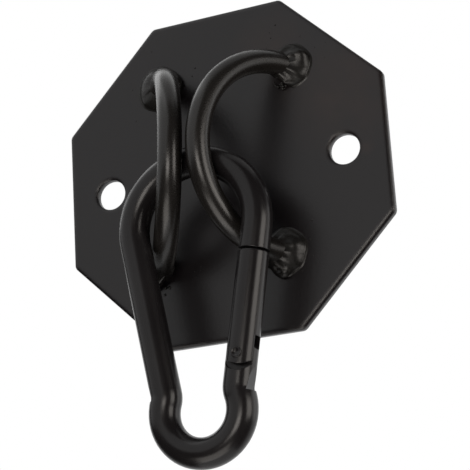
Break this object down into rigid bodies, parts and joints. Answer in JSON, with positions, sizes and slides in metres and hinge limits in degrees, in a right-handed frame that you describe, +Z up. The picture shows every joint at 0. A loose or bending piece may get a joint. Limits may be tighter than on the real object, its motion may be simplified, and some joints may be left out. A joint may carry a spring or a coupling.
{
  "type": "hammock hook",
  "caption": "Octagonal wall plate with welded bent rods that hold a pear-shaped spring snap hook for hanging a hammock, black coated steel.",
  "frame": {"origin": "centre of the plate's back face, on the wall", "axes": "+X along the wall to the right as seen from the front, +Y into the wall, +Z up"},
  "size_m": [0.115, 0.0372, 0.1589],
  "materials": {
    "plate_coat": "satin",
    "rod_coat": "satin",
    "weld_coat": "gloss",
    "hook_coat": "semi-gloss",
    "inner_steel": "plain"
  },
  "bodies": {
    "bracket": {"base_plate": "plate_coat", "left_hook_rod": "rod_coat", "right_hook_rod": "rod_coat", "upper_left_weld": "weld_coat", "lower_left_weld": "weld_coat", "upper_right_weld": "weld_coat", "lower_right_weld": "weld_coat"},
    "snap_hook": {"carabiner_body": "hook_coat"},
    "gate": {"carabiner_gate": "hook_coat", "gate_rivet": "hook_coat", "gate_spring": "inner_steel"},
    "plunger": {"gate_plunger": "inner_steel"}
  },
  "joints": [
    {"name": "hook_swing", "type": "hinge", "parent": "bracket", "child": "snap_hook", "pos_m": [-0.0029, -0.02311, -0.0125], "axis": [-1, 0, 0], "range_deg": [0, 85]},
    {"name": "gate_open", "type": "hinge", "parent": "snap_hook", "child": "gate", "pos_m": [0.01063, -0.02311, -0.06758], "axis": [0, -1, 0], "range_deg": [0, 25], "stiffness_Nm_per_rad": 0.5, "springref_deg": -20.05},
    {"name": "plunger_slide", "type": "slide", "parent": "gate", "child": "plunger", "axis": [0.1857, 0, 0.9826], "range_m": [0, 0.0008], "deforming": ["gate_spring"]}
  ],
  "couplings": [
    {"joint": "plunger_slide", "follows": "gate_open", "m_per_rad": 0.0018335}
  ]
}
